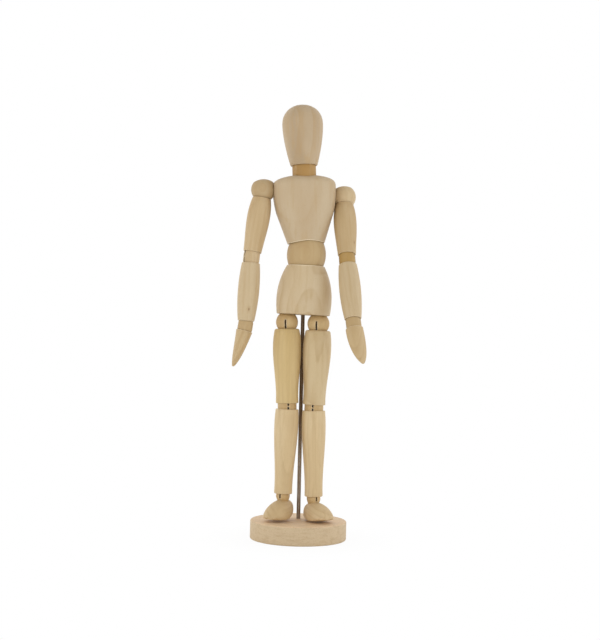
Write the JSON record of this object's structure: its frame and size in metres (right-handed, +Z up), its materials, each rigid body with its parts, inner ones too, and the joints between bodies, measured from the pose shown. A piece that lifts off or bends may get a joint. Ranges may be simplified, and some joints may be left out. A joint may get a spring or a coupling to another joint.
{
  "type": "wooden artist mannequin",
  "caption": "Jointed wooden figure with a blank head, turned limbs and ball joints held by hidden springs, on a steel rod in a round wooden base; poses as a drawing model.",
  "frame": {"origin": "centre of the flat underside of the round base", "axes": "+Z up along the rod, the figure faces -Y, its left side is +X"},
  "size_m": [0.0915, 0.073, 0.3028],
  "materials": {
    "limb_wood": "fine sanded pale basswood, unvarnished",
    "ball_wood": "fine turned wood, yellower than the limbs",
    "base_wood": "sanded flecked wood, pinkish end faces",
    "rod_steel": "drawn steel rod, dull bright",
    "pin_steel": "cut steel wire, dull",
    "spring_steel": "coiled spring wire"
  },
  "bodies": {
    "stand": {"base": "base_wood"},
    "rod": {"support_rod": "rod_steel"},
    "pelvis": {"pelvis": "limb_wood", "pelvis_pin": "pin_steel", "hip_studs": "pin_steel"},
    "waist_ball": {"waist_ball": "ball_wood"},
    "waist_spring": {"waist_spring": "spring_steel"},
    "chest": {"chest": "limb_wood", "chest_pins": "pin_steel", "shoulder_spring": "spring_steel"},
    "neck": {"neck": "ball_wood"},
    "neck_spring": {"neck_spring": "spring_steel"},
    "head": {"head": "limb_wood", "head_pin": "pin_steel"},
    "left_shoulder": {"left_shoulder_ball": "ball_wood", "left_shoulder_pins": "pin_steel"},
    "left_arm_spring": {"left_upper_arm_spring": "spring_steel"},
    "left_upper_arm": {"left_upper_arm": "limb_wood"},
    "left_elbow": {"left_elbow_ball": "ball_wood", "left_elbow_pins": "pin_steel"},
    "left_forearm_spring": {"left_forearm_spring": "spring_steel"},
    "left_forearm": {"left_forearm": "limb_wood"},
    "left_wrist": {"left_wrist_ball": "ball_wood", "left_wrist_pins": "pin_steel"},
    "left_hand": {"left_hand": "limb_wood", "left_hand_eye": "spring_steel"},
    "left_hip": {"left_hip_ball": "ball_wood", "left_hip_pin": "pin_steel"},
    "left_thigh": {"left_thigh": "limb_wood", "left_thigh_spring": "spring_steel"},
    "left_knee": {"left_knee_ball": "ball_wood", "left_knee_pins": "pin_steel"},
    "left_shin": {"left_shin": "limb_wood", "left_shin_spring": "spring_steel"},
    "left_ankle": {"left_ankle_ball": "ball_wood", "left_ankle_pin": "pin_steel"},
    "left_foot": {"left_foot": "limb_wood"},
    "right_shoulder": {"right_shoulder_ball": "ball_wood", "right_shoulder_pins": "pin_steel"},
    "right_arm_spring": {"right_upper_arm_spring": "spring_steel"},
    "right_upper_arm": {"right_upper_arm": "limb_wood"},
    "right_elbow": {"right_elbow_ball": "ball_wood", "right_elbow_pins": "pin_steel"},
    "right_forearm_spring": {"right_forearm_spring": "spring_steel"},
    "right_forearm": {"right_forearm": "limb_wood"},
    "right_wrist": {"right_wrist_ball": "ball_wood", "right_wrist_pins": "pin_steel"},
    "right_hand": {"right_hand": "limb_wood", "right_hand_eye": "spring_steel"},
    "right_hip": {"right_hip_ball": "ball_wood", "right_hip_pin": "pin_steel"},
    "right_thigh": {"right_thigh": "limb_wood", "right_thigh_spring": "spring_steel"},
    "right_knee": {"right_knee_ball": "ball_wood", "right_knee_pins": "pin_steel"},
    "right_shin": {"right_shin": "limb_wood", "right_shin_spring": "spring_steel"},
    "right_ankle": {"right_ankle_ball": "ball_wood", "right_ankle_pin": "pin_steel"},
    "right_foot": {"right_foot": "limb_wood"}
  },
  "joints": [
    {"name": "figure_turn", "type": "hinge", "parent": "stand", "child": "rod", "pos_m": [0, 0.007, 0.013], "axis": [0, 0, 1], "continuous": true},
    {"name": "figure_lift", "type": "slide", "parent": "rod", "child": "pelvis", "axis": [0, 0, 1], "range_m": [0, 0.012]},
    {"name": "waist_bend", "type": "hinge", "parent": "pelvis", "child": "waist_ball", "pos_m": [0.0015, -0.001, 0.19798], "axis": [0.9995, 0, -0.0314], "range_deg": [-15, 20], "deforming": ["waist_spring"]},
    {"name": "waist_lean", "type": "hinge", "parent": "waist_ball", "child": "waist_spring", "pos_m": [0.0015, -0.001, 0.19798], "axis": [0, 1, 0], "range_deg": [-8, 16], "deforming": ["waist_spring"]},
    {"name": "waist_twist", "type": "hinge", "parent": "waist_spring", "child": "chest", "pos_m": [0.0015, -0.001, 0.19798], "axis": [-0.0558, 0, 0.9984], "range_deg": [-40, 30], "deforming": ["waist_spring"]},
    {"name": "neck_lean", "type": "hinge", "parent": "chest", "child": "neck", "pos_m": [-0.00135, -0.00347, 0.25601], "axis": [-0.1562, 0.9877, -0.0087], "range_deg": [-12, 12], "deforming": ["neck_spring"]},
    {"name": "head_nod", "type": "hinge", "parent": "neck", "child": "neck_spring", "pos_m": [-0.00135, -0.00347, 0.25601], "axis": [0.9861, 0.1564, 0.0551], "range_deg": [-15, 18], "deforming": ["neck_spring"]},
    {"name": "head_turn", "type": "hinge", "parent": "neck_spring", "child": "head", "pos_m": [-0.00135, -0.00347, 0.25601], "axis": [-0.0558, 0, 0.9984], "range_deg": [-80, 80], "deforming": ["neck_spring"]},
    {"name": "left_shoulder_swing", "type": "hinge", "parent": "chest", "child": "left_shoulder", "pos_m": [0.02695, 0.00593, 0.23996], "axis": [-0.9861, -0.1564, -0.0551], "range_deg": [-40, 72], "deforming": ["shoulder_spring"]},
    {"name": "left_arm_raise", "type": "hinge", "parent": "left_shoulder", "child": "left_arm_spring", "pos_m": [0.02695, 0.00593, 0.23996], "axis": [0.1277, -0.9281, 0.3497], "range_deg": [0, 75]},
    {"name": "left_arm_twist", "type": "hinge", "parent": "left_arm_spring", "child": "left_upper_arm", "pos_m": [0.02695, 0.00593, 0.23996], "axis": [-0.0576, 0.345, 0.9368], "range_deg": [-60, 60], "deforming": ["left_upper_arm_spring"]},
    {"name": "left_elbow_upper", "type": "hinge", "parent": "left_upper_arm", "child": "left_elbow", "pos_m": [0.02965, -0.01026, 0.19603], "axis": [-0.3027, -0.9002, 0.313], "range_deg": [-10, 31]},
    {"name": "left_elbow_lower", "type": "hinge", "parent": "left_elbow", "child": "left_forearm_spring", "pos_m": [0.02994, -0.01159, 0.19248], "axis": [-0.3027, -0.9002, 0.313], "range_deg": [-10, 31]},
    {"name": "left_forearm_twist", "type": "hinge", "parent": "left_forearm_spring", "child": "left_forearm", "pos_m": [0.02994, -0.01159, 0.19248], "axis": [-0.0957, 0.3554, 0.9298], "range_deg": [-60, 60], "deforming": ["left_forearm_spring"]},
    {"name": "left_wrist_upper", "type": "hinge", "parent": "left_forearm", "child": "left_wrist", "pos_m": [0.03417, -0.02728, 0.15143], "axis": [0.1264, -0.9222, 0.3655], "range_deg": [-20, 25]},
    {"name": "left_wrist_lower", "type": "hinge", "parent": "left_wrist", "child": "left_hand", "pos_m": [0.03463, -0.0285, 0.14818], "axis": [0.1264, -0.9222, 0.3655], "range_deg": [-20, 25]},
    {"name": "left_hip_turn", "type": "hinge", "parent": "pelvis", "child": "left_hip", "pos_m": [0.01099, -0.001, 0.14995], "axis": [0, 0, 1], "range_deg": [-8, 30]},
    {"name": "left_hip_swing", "type": "hinge", "parent": "left_hip", "child": "left_thigh", "pos_m": [0.01099, -0.001, 0.14995], "axis": [-0.9776, 0.2078, 0.0332], "range_deg": [-1, 55]},
    {"name": "left_knee_upper", "type": "hinge", "parent": "left_thigh", "child": "left_knee", "pos_m": [0.00916, -0.00061, 0.09344], "axis": [0.9897, -0.1391, -0.0331], "range_deg": [0, 42]},
    {"name": "left_knee_lower", "type": "hinge", "parent": "left_knee", "child": "left_shin", "pos_m": [0.00903, -0.00058, 0.08944], "axis": [0.99, -0.1392, 0.021], "range_deg": [0, 42]},
    {"name": "left_ankle_pitch", "type": "hinge", "parent": "left_shin", "child": "left_ankle", "pos_m": [0.01033, -0.00062, 0.02825], "axis": [-0.8986, -0.4383, -0.0187], "range_deg": [-0.5, 22]},
    {"name": "left_foot_turn", "type": "hinge", "parent": "left_ankle", "child": "left_foot", "pos_m": [0.01033, -0.00062, 0.02825], "axis": [0.0133, -0.0699, 0.9975], "range_deg": [-8, 30]},
    {"name": "right_shoulder_swing", "type": "hinge", "parent": "chest", "child": "right_shoulder", "pos_m": [-0.02959, -0.00299, 0.24281], "axis": [-0.9861, -0.1564, -0.0551], "range_deg": [-40, 140], "deforming": ["shoulder_spring"]},
    {"name": "right_arm_raise", "type": "hinge", "parent": "right_shoulder", "child": "right_arm_spring", "pos_m": [-0.02959, -0.00299, 0.24281], "axis": [-0.1519, 0.9853, -0.0784], "range_deg": [-5, 75]},
    {"name": "right_arm_twist", "type": "hinge", "parent": "right_arm_spring", "child": "right_upper_arm", "pos_m": [-0.02959, -0.00299, 0.24281], "axis": [-0.145, -0.1006, -0.9843], "range_deg": [-60, 60], "deforming": ["right_upper_arm_spring"]},
    {"name": "right_elbow_upper", "type": "hinge", "parent": "right_upper_arm", "child": "right_elbow", "pos_m": [-0.03639, -0.00771, 0.19665], "axis": [-0.5509, 0.8346, -0.0042], "range_deg": [-10, 31]},
    {"name": "right_elbow_lower", "type": "hinge", "parent": "right_elbow", "child": "right_forearm_spring", "pos_m": [-0.03678, -0.00799, 0.19288], "axis": [-0.5509, 0.8346, -0.0042], "range_deg": [-10, 31]},
    {"name": "right_forearm_twist", "type": "hinge", "parent": "right_forearm_spring", "child": "right_forearm", "pos_m": [-0.03678, -0.00799, 0.19288], "axis": [-0.0598, -0.0444, -0.9972], "range_deg": [-60, 60], "deforming": ["right_forearm_spring"]},
    {"name": "right_wrist_upper", "type": "hinge", "parent": "right_forearm", "child": "right_wrist", "pos_m": [-0.03942, -0.00995, 0.14885], "axis": [-0.1475, 0.9884, -0.0352], "range_deg": [-20, 25]},
    {"name": "right_wrist_lower", "type": "hinge", "parent": "right_wrist", "child": "right_hand", "pos_m": [-0.03992, -0.01014, 0.14539], "axis": [-0.1475, 0.9884, -0.0352], "range_deg": [-20, 25]},
    {"name": "right_hip_turn", "type": "hinge", "parent": "pelvis", "child": "right_hip", "pos_m": [-0.01099, -0.001, 0.15065], "axis": [0, 0, -1], "range_deg": [-8, 30]},
    {"name": "right_hip_swing", "type": "hinge", "parent": "right_hip", "child": "right_thigh", "pos_m": [-0.01099, -0.001, 0.15065], "axis": [-0.99, 0.1391, -0.0244], "range_deg": [-1, 55]},
    {"name": "right_knee_upper", "type": "hinge", "parent": "right_thigh", "child": "right_knee", "pos_m": [-0.00963, -0.00119, 0.09411], "axis": [0.99, 0.1392, 0.0235], "range_deg": [0, 42]},
    {"name": "right_knee_lower", "type": "hinge", "parent": "right_knee", "child": "right_shin", "pos_m": [-0.00953, -0.00121, 0.09011], "axis": [0.9899, 0.1389, -0.0271], "range_deg": [0, 42]},
    {"name": "right_ankle_pitch", "type": "hinge", "parent": "right_shin", "child": "right_ankle", "pos_m": [-0.01109, -0.00184, 0.02989], "axis": [-0.8985, 0.4386, 0.0187], "range_deg": [-0.5, 22]},
    {"name": "right_foot_turn", "type": "hinge", "parent": "right_ankle", "child": "right_foot", "pos_m": [-0.01109, -0.00184, 0.02989], "axis": [0.0658, 0.1766, -0.9821], "range_deg": [-8, 30]}
  ]
}
